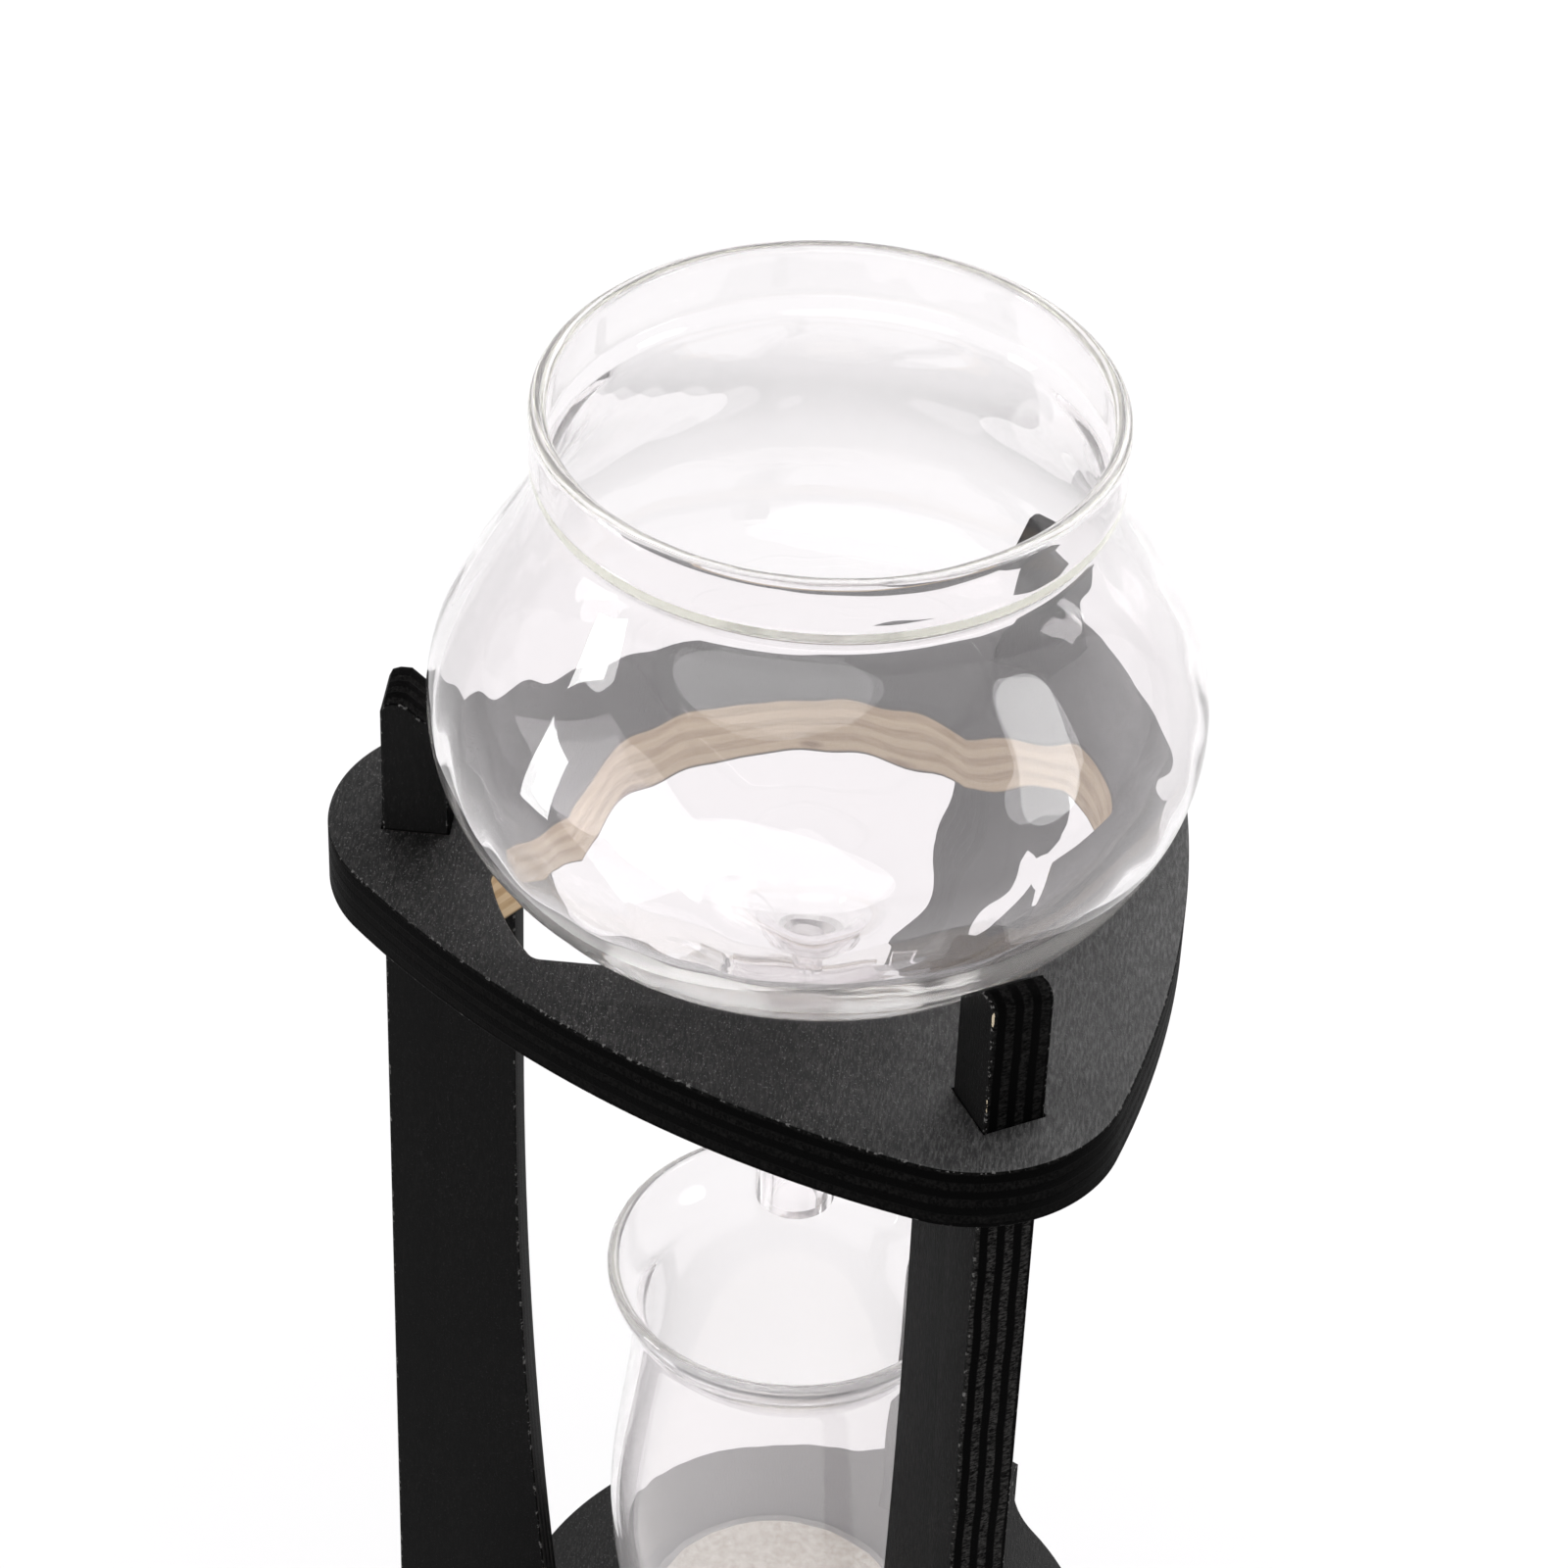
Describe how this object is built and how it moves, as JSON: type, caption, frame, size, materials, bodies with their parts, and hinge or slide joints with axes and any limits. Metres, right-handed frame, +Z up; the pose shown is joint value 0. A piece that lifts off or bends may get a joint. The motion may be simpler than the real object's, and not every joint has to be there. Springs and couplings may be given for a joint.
{
  "type": "cold-drip coffee tower",
  "caption": "Three-legged plywood tower with a glass water globe, a drip stopcock, a glass coffee chamber with a disc filter and a glass carafe.",
  "frame": {"origin": "centre of the overall box, on the surface that the foot pads stand on; the plates' axis is at x = +10.65 mm, y = 0, and the glassware stands on a line 1.6 mm towards -X and 1.2 mm towards -Y from it", "axes": "+Z up; -X towards the left leg; +X towards the open side between the front and back legs, where the carafe slides out and the stopcock's handle points"},
  "size_m": [0.1484, 0.1542, 0.513],
  "materials": {
    "black_ply": "black-stained birch plywood, satin, raw at the globe hole",
    "clear_glass": "clear blown borosilicate glass",
    "silicone": "translucent silicone",
    "black_rubber": "matte black rubber",
    "ptfe": "white PTFE",
    "white_plastic": "white moulded plastic",
    "ceramic": "porous cream ceramic"
  },
  "bodies": {
    "tower": {"top_plate": "black_ply", "middle_plate": "black_ply", "base_plate": "black_ply", "leg_left": "black_ply", "leg_front": "black_ply", "leg_back": "black_ply", "foot_pads": "black_rubber"},
    "globe": {"water_globe": "clear_glass", "outlet_bung": "silicone", "stopcock_body": "clear_glass"},
    "key": {"stopcock_key": "clear_glass", "key_washer": "ptfe", "key_o_ring": "black_rubber", "key_nut": "white_plastic"},
    "chamber": {"coffee_chamber": "clear_glass"},
    "filter": {"filter_disc": "ceramic", "filter_gasket": "silicone"},
    "carafe": {"carafe": "clear_glass"}
  },
  "joints": [
    {"name": "globe_lift", "type": "slide", "parent": "tower", "child": "globe", "axis": [0, 0, 1], "range_m": [0, 0.13]},
    {"name": "key_turn", "type": "hinge", "parent": "globe", "child": "key", "pos_m": [0.00905, -0.0012, 0.364], "axis": [1, 0, 0], "continuous": true},
    {"name": "chamber_lift", "type": "slide", "parent": "tower", "child": "chamber", "axis": [0, 0, 1], "range_m": [0, 0.012]},
    {"name": "filter_lift", "type": "slide", "parent": "chamber", "child": "filter", "axis": [0, 0, 1], "range_m": [0, 0.085]},
    {"name": "carafe_slide", "type": "slide", "parent": "tower", "child": "carafe", "axis": [1, 0, 0], "range_m": [0, 0.15]}
  ]
}
